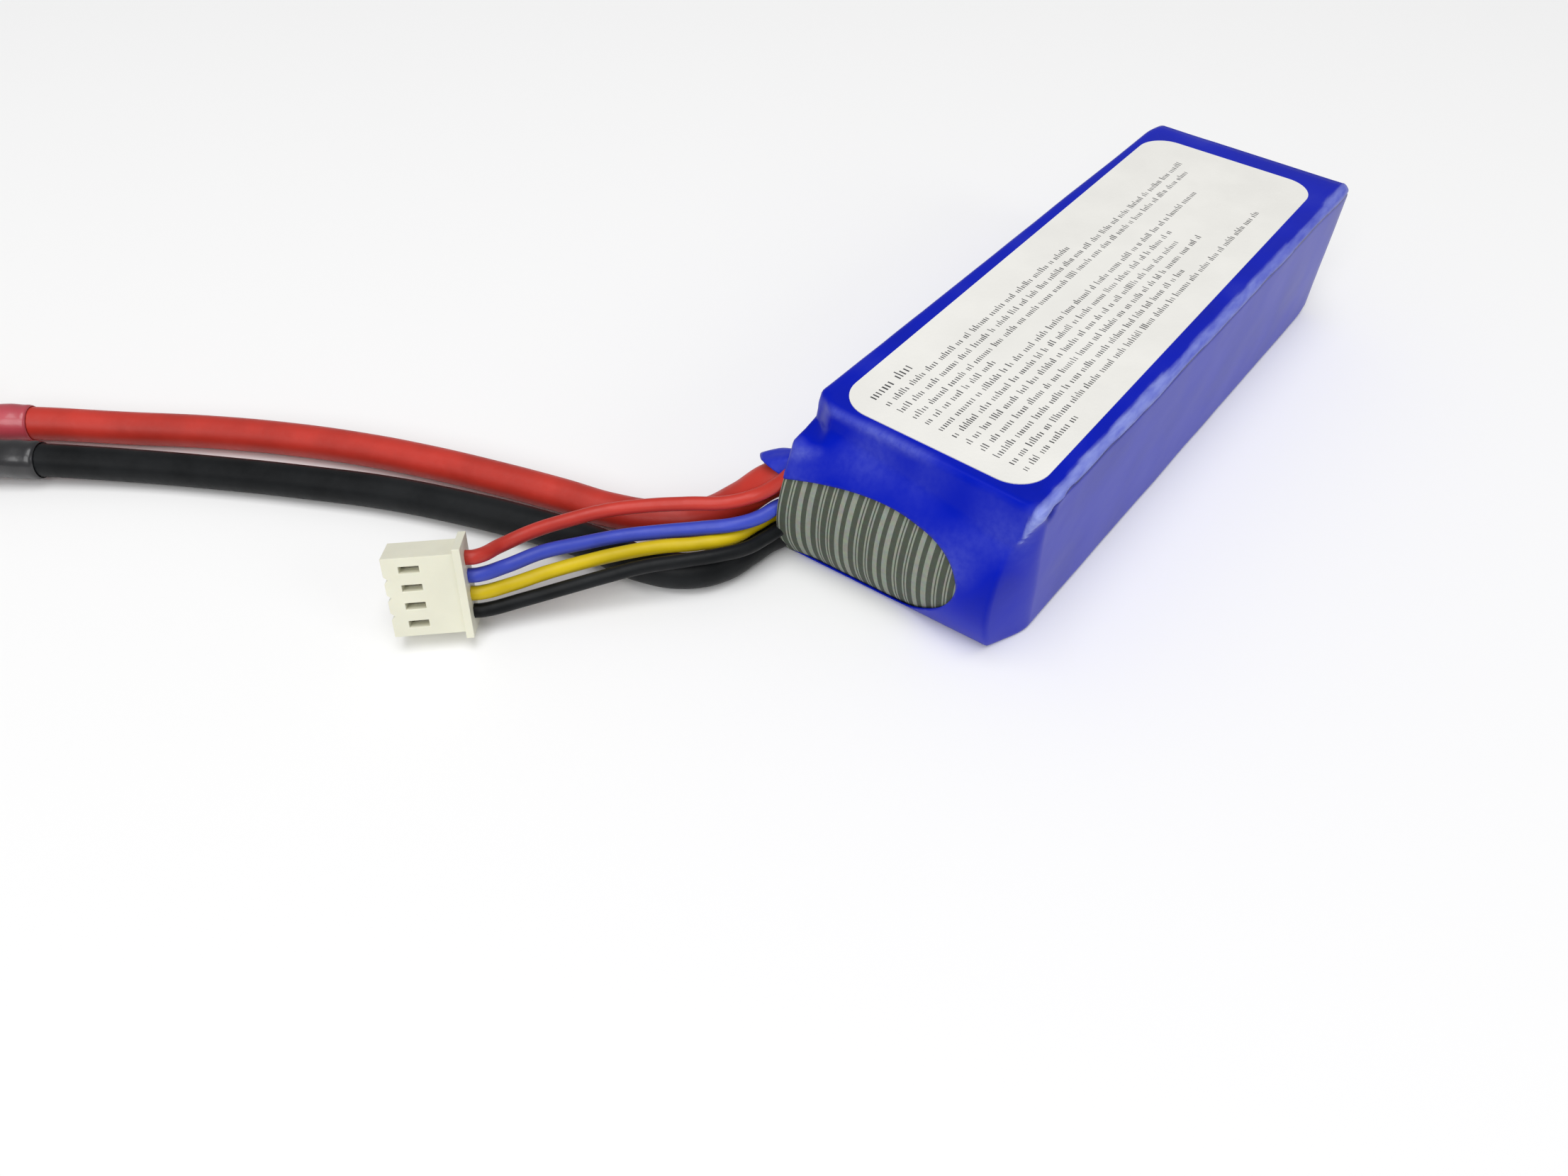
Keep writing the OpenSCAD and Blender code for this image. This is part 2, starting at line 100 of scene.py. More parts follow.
def add_surroundings():
    """White room light, three softboxes and a pale floor."""
    scene = bpy.context.scene
    scene.view_settings.view_transform = "Standard"
    world = bpy.data.worlds.new("room")
    world.use_nodes = True
    world.node_tree.nodes["Background"].inputs["Color"].default_value = (1, 1, 1, 1)
    world.node_tree.nodes["Background"].inputs["Strength"].default_value = 0.34
    scene.world = world
    add_light("overhead", (-200, -100, 1500), (0, 20, 0), 1000, 12.5)
    add_light("front_left", (-1000, -300, 900), (-20, 20, 0), 700, 6)
    add_light("right", (200, -1300, 700), (0, 0, 10), 500, 1.5)
    bm = bmesh.new()
    bmesh.ops.create_grid(bm, x_segments=2, y_segments=2, size=2.5)
    floor = mesh_object("floor", bm)
    floor.location.z = -0.05 * MM
    floor.data.materials.append(material("floor_white", (0.93, 0.93, 0.93), rough=0.8))


# ---------------------------------------------------------------- mesh and material helpers


def mesh_object(name, bm, smooth=True):
    """A new object from a bmesh, which is freed."""
    mesh = bpy.data.meshes.new(name)
    bm.to_mesh(mesh)
    bm.free()
    for face in mesh.polygons:
        face.use_smooth = smooth
    obj = bpy.data.objects.new(name, mesh)
    bpy.context.scene.collection.objects.link(obj)
    return obj


def place(obj, *replaced, slot, finish):
    """Rides a finished piece on the pack in the stead of CAD nodes."""
    obj.data.materials.clear()
    obj.data.materials.append(finish)
    if replaced:
        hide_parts(*replaced)
    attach(obj, "root")
    return obj


def material(name, color, rough=0.5, metal=0.0, coat=0.0, grain=0.0, grain_scale=900.0,
             vary=0.0, vary_scale=120.0, coat_rough=0.1, specular=0.5, scatter=0.0):
    """A Principled material whose colour, roughness and surface vary with noise."""
    made = bpy.data.materials.new(name)
    made.use_nodes = True
    tree = made.node_tree
    shader = tree.nodes["Principled BSDF"]
    shader.inputs["Base Color"].default_value = (*color, 1)
    shader.inputs["Roughness"].default_value = rough
    shader.inputs["Metallic"].default_value = metal
    shader.inputs["Coat Weight"].default_value = coat
    shader.inputs["Coat Roughness"].default_value = coat_rough
    shader.inputs["Specular IOR Level"].default_value = specular
    shader.inputs["Subsurface Weight"].default_value = scatter
    shader.inputs["Subsurface Radius"].default_value = (0.0015, 0.0012, 0.0008)
    coords = tree.nodes.new("ShaderNodeTexCoord")
    if vary:
        patches = noise_node(tree, coords, vary_scale, 4)
        dark = tuple(c * (1 - vary) for c in color)
        light = tuple(min(1, c * (1 + vary) + 0.02 * vary) for c in color)
        ramp = ramp_node(tree, patches, dark, light)
        tree.links.new(ramp.outputs["Color"], shader.inputs["Base Color"])
    if grain:
        fine = noise_node(tree, coords, grain_scale, 6)
        bump = tree.nodes.new("ShaderNodeBump")
        bump.inputs["Strength"].default_value = min(1, grain)
        bump.inputs["Distance"].default_value = 0.0001
        tree.links.new(fine.outputs["Fac"], bump.inputs["Height"])
        tree.links.new(bump.outputs["Normal"], shader.inputs["Normal"])
        level = tree.nodes.new("ShaderNodeMapRange")
        level.inputs["To Min"].default_value = max(0.02, rough - 0.12)
        level.inputs["To Max"].default_value = min(1, rough + 0.12)
        tree.links.new(fine.outputs["Fac"], level.inputs["Value"])
        tree.links.new(level.outputs["Result"], shader.inputs["Roughness"])
    return made


def noise_node(tree, coords, scale, detail):
    """Object-space noise."""
    made = tree.nodes.new("ShaderNodeTexNoise")
    made.inputs["Scale"].default_value = scale
    made.inputs["Detail"].default_value = detail
    tree.links.new(coords.outputs["Object"], made.inputs["Vector"])
    return made


def ramp_node(tree, source, dark, light, low=0.35, high=0.65):
    """A two-colour ramp over a noise."""
    made = tree.nodes.new("ShaderNodeValToRGB")
    made.color_ramp.elements[0].position = low
    made.color_ramp.elements[1].position = high
    made.color_ramp.elements[0].color = (*dark, 1)
    made.color_ramp.elements[1].color = (*light, 1)
    tree.links.new(source.outputs["Fac"], made.inputs["Fac"])
    return made


def smooth_step(t):
    t = min(1.0, max(0.0, t))
    return t * t * (3 - 2 * t)


def spline(points, per_span):
    """Catmull-Rom points through the given ones."""
    pts = [Vector(p) for p in points]
    pts = [2 * pts[0] - pts[1], *pts, 2 * pts[-1] - pts[-2]]
    out = []
    for i in range(1, len(pts) - 2):
        a, b, c, d = pts[i - 1:i + 3]
        for k in range(per_span):
            t = k / per_span
            out.append(0.5 * ((2 * b) + (c - a) * t + (2 * a - 5 * b + 4 * c - d) * t ** 2
                              + (3 * b - a - 3 * c + d) * t ** 3))
    out.append(pts[-2])
    return out


# ---------------------------------------------------------------- leads

MAIN_D = 4.9
BALANCE_D = 1.9
POWER_FRAME = Matrix.Translation((-116.3, 128.2, 4.05)) @ Matrix.Rotation(math.radians(131), 4, "Z")
PLUG_FRAME = (Matrix.Translation((-91.8, 46.6, 6.85)) @ Matrix.Rotation(math.radians(-45), 4, "Z")
              @ Matrix.Rotation(math.radians(69), 4, "X"))
POLE_Y = (-3.6, 3.6)
CIRCUIT_Y = (3.75, 1.25, -1.25, -3.75)

MAIN_RED_ROUTE = [
    (-45.8, 9.8, 12.5), (-46, 13.4, 12.2), (-46.5, 17.2, 11.6), (-48.6, 20.2, 10),
    (-51.3, 23.4, 6.6), (-54.4, 27.6, 3.3), (-57.8, 32.6, 2.5), (-60.8, 38.6, 2.5),
    (-63.2, 46.6, 2.5), (-66.7, 57, 2.5), (-70.3, 66.6, 2.5), (-74.5, 76.2, 2.5),
    (-79.9, 86.6, 2.5), (-86.5, 97.4, 2.5), (-93.9, 107.8, 2.6), (-102.1, 118.6, 3.2),
    (-106.1, 122.8, 3.7),
]
MAIN_BLACK_ROUTE = [
    (-45.8, 9.8, 3.1), (-46.2, 13.3, 3.1), (-47.8, 16.5, 3), (-50.8, 18.6, 2.7),
    (-54.8, 19.4, 2.5), (-59.2, 20.2, 2.5), (-63, 22.9, 2.5), (-65.7, 28, 2.5),
    (-67.1, 35.6, 2.5), (-70, 45.6, 2.5), (-73.9, 56, 2.5), (-78.3, 66, 2.5),
    (-83.7, 76, 2.5), (-90.1, 87, 2.5), (-97.3, 98.4, 2.6), (-105.5, 109.6, 3.2),
    (-110.6, 115.9, 3.7),
]
BALANCE_RED_ROUTE = [
    (-45.3, 9.8, 16.3), (-46.8, 12.8, 16.1), (-48.6, 15.4, 14.9), (-50.6, 17.4, 12.4),
    (-52.6, 19.6, 10.5), (-55.6, 22, 10), (-58.8, 26, 9.8), (-62.2, 30.4, 9.3),
    (-66, 34.1, 9), (-70.2, 36.7, 8.9), (-74.6, 38.7, 9), (-79, 39.9, 9.1),
]
BALANCE_BLUE_ROUTE = [
    (-45.4, 9.8, 8.9), (-46.8, 12.6, 8.9), (-48.5, 15.1, 9), (-50.7, 17, 8.8),
    (-53.5, 18, 8.3), (-56.4, 19.7, 8.1), (-59.4, 23.2, 7.5), (-62.8, 27.2, 7),
    (-67, 30.8, 7.1), (-71.4, 33.6, 7.4), (-75.8, 36, 7.8), (-80.2, 38, 7.5),
]
BALANCE_YELLOW_ROUTE = [
    (-45.4, 9.8, 6.8), (-46.6, 12.8, 6.8), (-48, 15.7, 6.7), (-50, 17.9, 6.4),
    (-53.3, 18.9, 6.2), (-57, 19.8, 6.1), (-60.6, 22.4, 6.1), (-64.4, 26.1, 6.1),
    (-68.6, 29.2, 6.2), (-72.7, 31.9, 6.1), (-76.8, 34.4, 5.9), (-80.8, 36.8, 5.4),
]
BALANCE_BLACK_ROUTE = [
    (-47.6, 9.8, 6.7), (-48.5, 12.2, 6.4), (-49.5, 14.5, 5.8), (-51, 16.2, 5.4),
    (-53.8, 16.8, 5.4), (-57, 17.3, 5.7), (-60.4, 19, 6), (-64.2, 22, 6),
    (-68.2, 25.5, 5.8), (-72.2, 28.6, 5.2), (-76.4, 31.7, 4.5), (-80.8, 35, 3.7),
]


def main_path(route, i):
    """A main lead's route, to just behind its solder cup."""
    return [*route, tuple(POWER_FRAME @ Vector((-5.6, POLE_Y[i], 0)))]


def balance_path(route, i):
    """A balance lead's route, running squarely into the plug."""
    tail = [PLUG_FRAME @ Vector((x, CIRCUIT_Y[i], 0)) for x in (11, 9.8)]
    return [*route, *map(tuple, tail)]


def lead(name, points, diameter, finish):
    """A lead as a smooth round cord along its route."""
    data = bpy.data.curves.new(name, "CURVE")
    data.dimensions = "3D"
    data.resolution_u = 10
    data.bevel_depth = diameter / 2 * MM
    data.bevel_resolution = 7
    data.use_fill_caps = True
    line = data.splines.new("BEZIER")
    line.bezier_points.add(len(points) - 1)
    for knot, p in zip(line.bezier_points, points):
        knot.co = Vector(p) * MM
        knot.handle_left_type = "AUTO"
        knot.handle_right_type = "AUTO"
    obj = bpy.data.objects.new(name, data)
    bpy.context.scene.collection.objects.link(obj)
    data.materials.append(finish)
    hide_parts(name.removesuffix("_cord"))
    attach(obj, "root")
    return obj


def add_leads(power):
    """Both main leads and the four balance leads, each running to the piece at its far end."""
    red = material("silicone_red", (0.50, 0.030, 0.018), rough=0.44, grain=0.35,
                   vary=0.12, specular=0.4)
    black = material("silicone_black", (0.004, 0.005, 0.006), rough=0.45, grain=0.35, vary=0.25,
                     specular=0.16)
    blue = material("silicone_blue", (0.035, 0.06, 0.46), rough=0.44, grain=0.35,
                    vary=0.12, specular=0.4)
    yellow = material("silicone_yellow", (0.60, 0.44, 0.002), rough=0.44, grain=0.35,
                      vary=0.12, specular=0.3)
    lead("main_lead_red_cord", main_path(MAIN_RED_ROUTE, 0), MAIN_D,
         red)
    lead("main_lead_black_cord", main_path(MAIN_BLACK_ROUTE, 1), MAIN_D,
         black)
    routes = {"red": BALANCE_RED_ROUTE, "blue": BALANCE_BLUE_ROUTE,
              "yellow": BALANCE_YELLOW_ROUTE, "black": BALANCE_BLACK_ROUTE}
    finishes = {"red": red, "blue": blue, "yellow": yellow, "black": black}
    for i, (name, route) in enumerate(routes.items()):
        lead(f"balance_lead_{name}_cord", balance_path(route, i), BALANCE_D,
             finishes[name])


def sleeve(name, route, i, finish):
    """A shrink sleeve over the end of a main lead and its solder cup."""
    knots = [Vector(p) for p in route[-2:]]
    cup = POWER_FRAME @ Vector((-5.6, POLE_Y[i], 0))
    end = POWER_FRAME @ Vector((-0.15, POLE_Y[i], 0))
    path = spline([*knots, cup, end], 14)
    outer = [MAIN_D / 2 + 0.34 + 0.10 * noise.noise(p * 0.6) for p in path]
    outer[0] = MAIN_D / 2 + 0.18
    inner = MAIN_D / 2 + 0.06
    sides = 40
    bm = bmesh.new()
    rings = []
    stations = [(p, r) for p, r in zip(path, outer)]
    stations += [(p, inner) for p in reversed(path)]
    last = len(path) - 1
    for k, (p, r) in enumerate(stations):
        j = k if k <= last else 2 * last + 1 - k
        ahead = (path[min(j + 1, last)] - path[max(j - 1, 0)]).normalized()
        across = Vector((0, 0, 1)).cross(ahead).normalized()
        over = ahead.cross(across)
        ring = []
        for s in range(sides):
            a = 2 * math.pi * s / sides
            ring.append(bm.verts.new((p + r * (math.cos(a) * across + math.sin(a) * over)) * MM))
        rings.append(ring)
    for a, b in zip(rings, rings[1:] + rings[:1]):
        for s in range(sides):
            t = (s + 1) % sides
            bm.faces.new((a[s], b[s], b[t], a[t]))
    bmesh.ops.recalc_face_normals(bm, faces=bm.faces)
    obj = mesh_object(name + "_tube", bm)
    return place(obj, name, slot=name, finish=finish)


def add_sleeves():
    """Both shrink sleeves."""
    red = material("sleeve_red", (0.47, 0.055, 0.075), rough=0.34, coat=0.3, grain=0.5,
                   grain_scale=500, vary=0.15)
    black = material("sleeve_black", (0.012, 0.012, 0.014), rough=0.30, coat=0.3, grain=0.5,
                     grain_scale=500, vary=0.25)
    return [sleeve("sleeve_red", MAIN_RED_ROUTE, 0, red),
            sleeve("sleeve_black", MAIN_BLACK_ROUTE, 1, black)]


# ---------------------------------------------------------------- film


def soft_min(a, b, k):
    h = max(k - abs(a - b), 0) / k
    return min(a, b) - h * h * k / 4


def soft_max(a, b, k):
    return -soft_min(-a, -b, k)


def nose_x(y, z, r=NOSE_R):
    """Front of the round nose, whose axis is turned a little towards the leads."""
    return -35.8 + 0.07 * (HALF_W - y) - math.sqrt(max(r * r - (z - NOSE_Z) ** 2, 0.01))


def plain_front_x(y, z):
    """Front of the film without the drawn-in corner: the nose and the step above it.
    Towards the leads the step is set back and the nose has a flat shoulder."""
    far = smooth_step((y - 12.6) / 4.2)
    step = -45.0 - 0.30 * min(TOP_Z - z, 5) + 2.2 * far
    shoulder = nose_x(y, z) + far * max(0, z - 18.5) * 3.5
    return soft_min(shoulder, step, 0.45)


def front_x(y, z):
    """Front of the film, drawn in at the corner away from the leads."""
    edge_y = -14.4 - 2.0 * smooth_step((z - 16) / 7.4)
    edge_x = plain_front_x(edge_y, z)
    side_x = -42.2 - 2.1 * z / TOP_Z
    facet = edge_x + (side_x - edge_x) * (edge_y - y) / (edge_y + 16.7)
    return soft_max(plain_front_x(y, z), facet, 0.3)


# Middle line of the puckered crease from the lead end along the near top edge
CREASE_LINE = [
    (-46.2, -14.9, 18.2), (-45.6, -15.8, 20.4), (-44.6, -16.8, 22.9), (-42.6, -16.7, 23.5),
    (-36, -16.5, 23.5), (-20, -16.6, 23.4), (10, -16.6, 23.4), (35, -16.6, 23.4),
    (51.4, -16.4, 23.2),
]
# Where the crease puckers at the lead end: a lump and the pit behind it
PUCKERS = [((-44.8, -16.7, 22.8), 1.5, 0.35), ((-42.6, -16.9, 21.7), 0.9, -0.5),
           ((-40.6, -16.8, 23.3), 1.3, 0.22), ((-45.9, 15.9, 22.6), 1.2, 0.3),
           ((-46.4, 16.6, 20.2), 0.9, -0.3), ((-48.2, 16.2, 18.4), 1.1, 0.3)]
# The fold where the step meets the top face, and the folds at the far corner
FOLD_LINES = [
    [(-45.1, 16.4, 23.1), (-45.2, 10, 23.3), (-45.1, 4, 23.3), (-45.0, -3, 23.3)],
    [(-49.6, 16.4, 17.2), (-48.2, 13.6, 18.3), (-47.6, 11.5, 19.0)],
    [(-43.6, 16.6, 21.8), (-44.6, 15.6, 22.9), (-45.2, 13.5, 22.4)],
]


def wavy(line, size):
    """A line cut into short steps and moved about by noise."""
    fine = spline(line, 12)
    shift = [noise.noise_vector(p * 0.35) * size for p in fine]
    return [tuple(p + d) for p, d in zip(fine, shift)]


def line_distance(points, line):
    """For each point, its distance to a line and how far along it lies, in millimetres."""
    best = np.full(len(points), 1e9)
    along = np.zeros(len(points))
    done = 0.0
    for a, b in zip(line, line[1:]):
        a, b = np.array(a), np.array(b)
        span = b - a
        size = np.linalg.norm(span)
        t = np.clip((points - a) @ span / size ** 2, 0, 1)
        d = np.linalg.norm(points - a - t[:, None] * span, axis=1)
        nearer = d < best
        best[nearer] = d[nearer]
        along[nearer] = done + t[nearer] * size
        done += size
    return best, along


# The film's opening, seen from the front: y then height. Past y = HALF_W it turns the corner.
OPENING = [
    (-9.9, 9.8), (-9.4, 11.6), (-8.3, 13.2), (-6.9, 14.3), (-5.2, 15.1), (-3.0, 15.7),
    (0.0, 16.2), (3.4, 16.3), (7.2, 16.0), (11.3, 15.3), (14.6, 14.5), (17.2, 13.8),
    (20.5, 13.4), (22.6, 12.2), (23.2, 9.0), (22.6, 3.0), (20.0, 1.2), (16.0, 0.6),
    (10.0, 0.45), (4.0, 0.4), (0.0, 0.55), (-3.0, 1.2), (-5.2, 2.6), (-7.8, 5.0), (-9.3, 7.4),
]


def opening_distance(points):
    """Signed distance of flat points to the opening's outline, negative inside."""
    loop = [p.to_2d() for p in spline([(*p, 0) for p in OPENING + OPENING[:3]], 8)]
    loop = np.array(loop)[8:8 * (len(OPENING) + 1) + 1]
    best = np.full(len(points), 1e9)
    nearest = np.zeros((len(points), 2))
    inside = np.zeros(len(points), bool)
    for a, b in zip(loop, loop[1:]):
        span = b - a
        t = np.clip((points - a) @ span / (span @ span), 0, 1)
        foot = a + t[:, None] * span
        d = np.linalg.norm(points - foot, axis=1)
        nearer = d < best
        best[nearer] = d[nearer]
        nearest[nearer] = foot[nearer]
        crosses = (a[1] > points[:, 1]) != (b[1] > points[:, 1])
        with np.errstate(divide="ignore", invalid="ignore"):
            hit = a[0] + (points[:, 1] - a[1]) * (b[0] - a[0]) / (b[1] - a[1])
        inside ^= crosses & (points[:, 0] < hit)
    return np.where(inside, -best, best), nearest


def stations(low, high, step, fine=0, fine_step=0.3):
    """Evenly spaced numbers, with a finer stretch at the low end."""
    out = [low + fine_step * i for i in range(int(fine / fine_step))]
    start = low + fine_step * len(out)
    count = max(1, round((high - start) / step))
    return out + [start + (high - start) * i / count for i in range(count + 1)]


def film_lattice():
    """The film as the skin of a lattice box: flat positions and quads."""
    xs = stations(FRONT_X, REAR_X, 1.3, fine=11, fine_step=0.35)
    ys = stations(-HALF_W, HALF_W, 0.3)
    zs = stations(0, TOP_Z, 0.3)
    index = {}
    flat = []

    def vertex(i, j, k):
        if (i, j, k) not in index:
            index[i, j, k] = len(flat)
            flat.append((xs[i], ys[j], zs[k]))
        return index[i, j, k]

    quads = []
    nx, ny, nz = len(xs) - 1, len(ys) - 1, len(zs) - 1
    for i in range(nx):
        for j in range(ny):
            for k in (0, nz):
                q = [vertex(i, j, k), vertex(i + 1, j, k), vertex(i + 1, j + 1, k), vertex(i, j + 1, k)]
                quads.append(q if k else q[::-1])
    for i in range(nx):
        for k in range(nz):
            for j in (0, ny):
                q = [vertex(i, j, k), vertex(i + 1, j, k), vertex(i + 1, j, k + 1), vertex(i, j, k + 1)]
                quads.append(q[::-1] if j else q)
    for j in range(ny):
        for k in range(nz):
            for i in (0, nx):
                q = [vertex(i, j, k), vertex(i, j + 1, k), vertex(i, j + 1, k + 1), vertex(i, j, k + 1)]
                quads.append(q if i else q[::-1])
    return np.array(flat), quads


def cut_opening(flat, quads):
    """Snaps the lattice to the opening's outline and drops the quads inside it."""
    front = flat[:, 0] < FRONT_X + 1e-6
    side = (flat[:, 1] > HALF_W - 1e-6) & (flat[:, 0] < FRONT_X + 10)
    unrolled = flat[:, 1:].copy()
    unrolled[side, 0] = HALF_W + flat[side, 0] - FRONT_X
    live = front | side
    where = np.full(len(flat), 1e9)
    where[live], nearest = opening_distance(unrolled[live])
    near = np.zeros((len(flat), 2))
    near[live] = nearest
    snapped = np.abs(where) < 0.17
    for n in np.nonzero(snapped)[0]:
        u, z = near[n]
        if side[n] and u > HALF_W:
            flat[n, 0] = FRONT_X + u - HALF_W
        elif front[n] and u <= HALF_W:
            flat[n, 1] = u
        flat[n, 2] = z
    kept = []
    for q in quads:
        states = [0 if snapped[n] else (-1 if where[n] < 0 else 1) for n in q]
        if max(states) < 1:
            if not all(live[n] for n in q) or min(states) < 0 or all(s == 0 for s in states):
                continue
        elif min(states) < 0:
            if states[0] == 0 and states[2] == 0:
                kept.append([q[0], q[1], q[2]] if states[1] > 0 else [q[0], q[2], q[3]])
            elif states[1] == 0 and states[3] == 0:
                kept.append([q[1], q[2], q[3]] if states[2] > 0 else [q[0], q[1], q[3]])
            continue
        kept.append(q)
    return kept


def round_corners(p):
    """Rounds the box's edges, more so at the plain end, by pulling a surface point in."""
    r = 0.8 + 1.1 * smooth_step((p[0] - REAR_X + 5) / 5)
    low = Vector((FRONT_X + r, -HALF_W + r, r))
    high = Vector((REAR_X - r, HALF_W - r, TOP_Z - r))
    core = Vector((min(max(p[i], low[i]), high[i]) for i in range(3)))
    out = Vector(p) - core
    return core + out.normalized() * r if out.length > 1e-9 else Vector(p)


def film_shape(p):
    """Where a point of the plain box goes on the film."""
    q = round_corners(p)
    push = smooth_step((FRONT_X + 15 - q.x) / 15)
    q.x += (front_x(q.y, q.z) - FRONT_X) * push
    return q


def film_details(mesh):
    """Puckers, folds and slack of the film, moved along its normals. A value for whitening and painted
    light goes along:
    the plain level set above on the plain film, less in a seam and a pit (painted shadow), more on a
    crease, fold or lump (painted highlight with some whitening) and a painted sheen on the nose."""
    count = len(mesh.vertices)
    points = np.zeros(count * 3)
    normals = np.zeros(count * 3)
    mesh.vertices.foreach_get("co", points)
    mesh.vertices.foreach_get("normal", normals)
    points, normals = points.reshape(-1, 3) / MM, normals.reshape(-1, 3)
    move = np.zeros(count)
    light_and_whitening = np.zeros(count)
    far, along = line_distance(points, wavy(CREASE_LINE, 0.3))
    for n in np.nonzero(far < 5)[0]:
        s = along[n]
        wobble = noise.noise(Vector((s * 0.13, 3.1, 0)))
        ripple = noise.noise(Vector((s * 0.9, 7.7, 0)))
        width = (0.95 + 0.35 * wobble + 0.12 * ripple) * (0.15 + 0.85 * smooth_step(s / 7))
        fade = 0.6 + 0.4 * math.exp(-max(0, s - 26) / 26)
        move[n] += (0.20 + 0.12 * wobble) * fade * math.exp(-(far[n] / width) ** 8)
        # The crease is painted paler: a painted highlight where the rounded edge catches the light, with
        # some whitening of the creased film.
        light_and_whitening[n] += (0.60 + 0.2 * wobble) * fade * math.exp(-(far[n] / width) ** 8)
        if s > 4 and points[n, 2] < TOP_Z - 0.5 and points[n, 1] < 0.2 - HALF_W:
            # Along the seam below the crease the film is dented in and painted darker: a painted shadow
            # line.
            seam_and_shadow = fade * math.exp(-((far[n] - width - 0.2) / 0.22) ** 2)
            move[n] -= 0.18 * seam_and_shadow
            light_and_whitening[n] -= 0.5 * seam_and_shadow
    for centre, radius, height in PUCKERS:
        near = np.linalg.norm(points - np.array(centre), axis=1) / radius
        move += height * np.exp(-near ** 2)
        # Lumps are painted paler, a painted highlight, and pits darker, a painted shade.
        light_and_whitening += 0.45 * height * np.exp(-near ** 2)
    for line in FOLD_LINES:
        far, along = line_distance(points, line)
        length = sum((Vector(b) - Vector(a)).length for a, b in zip(line, line[1:]))
        for n in np.nonzero(far < 3)[0]:
            fade = smooth_step((length - along[n]) / 4)
            move[n] += 0.18 * fade * math.exp(-(far[n] / 0.7) ** 2)
            # Folds are painted paler: a painted highlight along each fold.
            light_and_whitening[n] += 0.2 * fade * math.exp(-(far[n] / 0.8) ** 2)
    for n in range(count):
        p = Vector(points[n])
        move[n] += 0.07 * noise.noise(p * 0.11) + 0.015 * noise.noise(p * 0.35 + Vector((9, 0, 0)))
        # The tone varies at random all over; on the nose's front above about 9 mm it is raised further
        # as a painted sheen.
        painted_nose_sheen = smooth_step((-43.5 - p.x) / 2) * smooth_step((p.z - 9) / 4)
        light_and_whitening[n] += (0.04 + 0.05 * painted_nose_sheen) * (0.8 + 1.4 * noise.noise(p * 0.13 + Vector((0, 5, 0)))) - 0.04
    under_label = (points[:, 2] > TOP_Z - 0.1) & (np.abs(points[:, 1] - 0.5) < 14.6)
    move[under_label] = np.minimum(move[under_label], 0)
    moved = points + normals * move[:, None]
    moved[:, 2] = np.maximum(moved[:, 2], 0)
    mesh.vertices.foreach_set("co", (moved * MM).ravel())
    layer = mesh.attributes.new("whitening_and_painted_light", "FLOAT", "POINT")
    layer.data.foreach_set("value", np.clip(PLAIN_LIGHT_AND_WHITENING + 0.8 * light_and_whitening, 0, 1).astype(np.float32))
    mesh.update()


def film_material():
    """Glossy blue shrink film, paler on creases, folds and lumps with painted highlight and some
    whitening, and on the nose with painted sheen; darker with painted shadow in seams and pits.
    """
    made = material("shrink_film", (0.0, 0.008, 0.42), rough=0.28, specular=0.22)
    tree = made.node_tree
    shader = tree.nodes["Principled BSDF"]
    shader.inputs["Specular Tint"].default_value = (0.30, 0.36, 1.0, 1)
    coords = tree.nodes.new("ShaderNodeTexCoord")
    light_and_whitening = tree.nodes.new("ShaderNodeAttribute")
    light_and_whitening.attribute_name = "whitening_and_painted_light"
    stretch = tree.nodes.new("ShaderNodeMapping")
    stretch.inputs["Scale"].default_value = (0.3, 1, 1)
    tree.links.new(coords.outputs["Object"], stretch.inputs["Vector"])
    streaks = tree.nodes.new("ShaderNodeTexNoise")
    streaks.inputs["Scale"].default_value = 1300
    streaks.inputs["Detail"].default_value = 5
    tree.links.new(stretch.outputs["Vector"], streaks.inputs["Vector"])
    gain = tree.nodes.new("ShaderNodeMapRange")
    gain.inputs["From Min"].default_value = 0.3
    gain.inputs["From Max"].default_value = 0.7
    gain.inputs["To Min"].default_value = 0.7
    gain.inputs["To Max"].default_value = 1.25
    tree.links.new(streaks.outputs["Fac"], gain.inputs["Value"])
    above = tree.nodes.new("ShaderNodeMath")
    above.operation = "SUBTRACT"
    above.inputs[1].default_value = PLAIN_LIGHT_AND_WHITENING
    tree.links.new(light_and_whitening.outputs["Fac"], above.inputs[0])
    spread = tree.nodes.new("ShaderNodeMath")
    spread.operation = "MULTIPLY_ADD"
    spread.inputs[2].default_value = PLAIN_LIGHT_AND_WHITENING
    tree.links.new(above.outputs["Value"], spread.inputs[0])
    tree.links.new(gain.outputs["Result"], spread.inputs[1])
    # Dark blue at the low end is the painted shadow of seams and pits; pale blue at the high end is the
    # painted highlight and sheen, with some whitening.
    ramp = tree.nodes.new("ShaderNodeValToRGB")
    ramp.color_ramp.elements[0].position = 0.0
    ramp.color_ramp.elements[0].color = (0.0, 0.004, 0.10, 1)
    ramp.color_ramp.elements[1].position = 1.0
    ramp.color_ramp.elements[1].color = (0.34, 0.40, 0.80, 1)
    ramp.color_ramp.elements.new(PLAIN_LIGHT_AND_WHITENING).color = (0.0, 0.009, 0.44, 1)
    tree.links.new(spread.outputs["Value"], ramp.inputs["Fac"])
    tree.links.new(ramp.outputs["Color"], shader.inputs["Base Color"])
    level = tree.nodes.new("ShaderNodeMapRange")
    level.inputs["To Min"].default_value = 0.26
    level.inputs["To Max"].default_value = 0.5
    tree.links.new(spread.outputs["Value"], level.inputs["Value"])
    tree.links.new(level.outputs["Result"], shader.inputs["Roughness"])
    dents = noise_node(tree, coords, 900, 3)
    bump = tree.nodes.new("ShaderNodeBump")
    bump.inputs["Strength"].default_value = 0.10
    bump.inputs["Distance"].default_value = 0.00005
    tree.links.new(dents.outputs["Fac"], bump.inputs["Height"])
    tree.links.new(bump.outputs["Normal"], shader.inputs["Normal"])
    return made


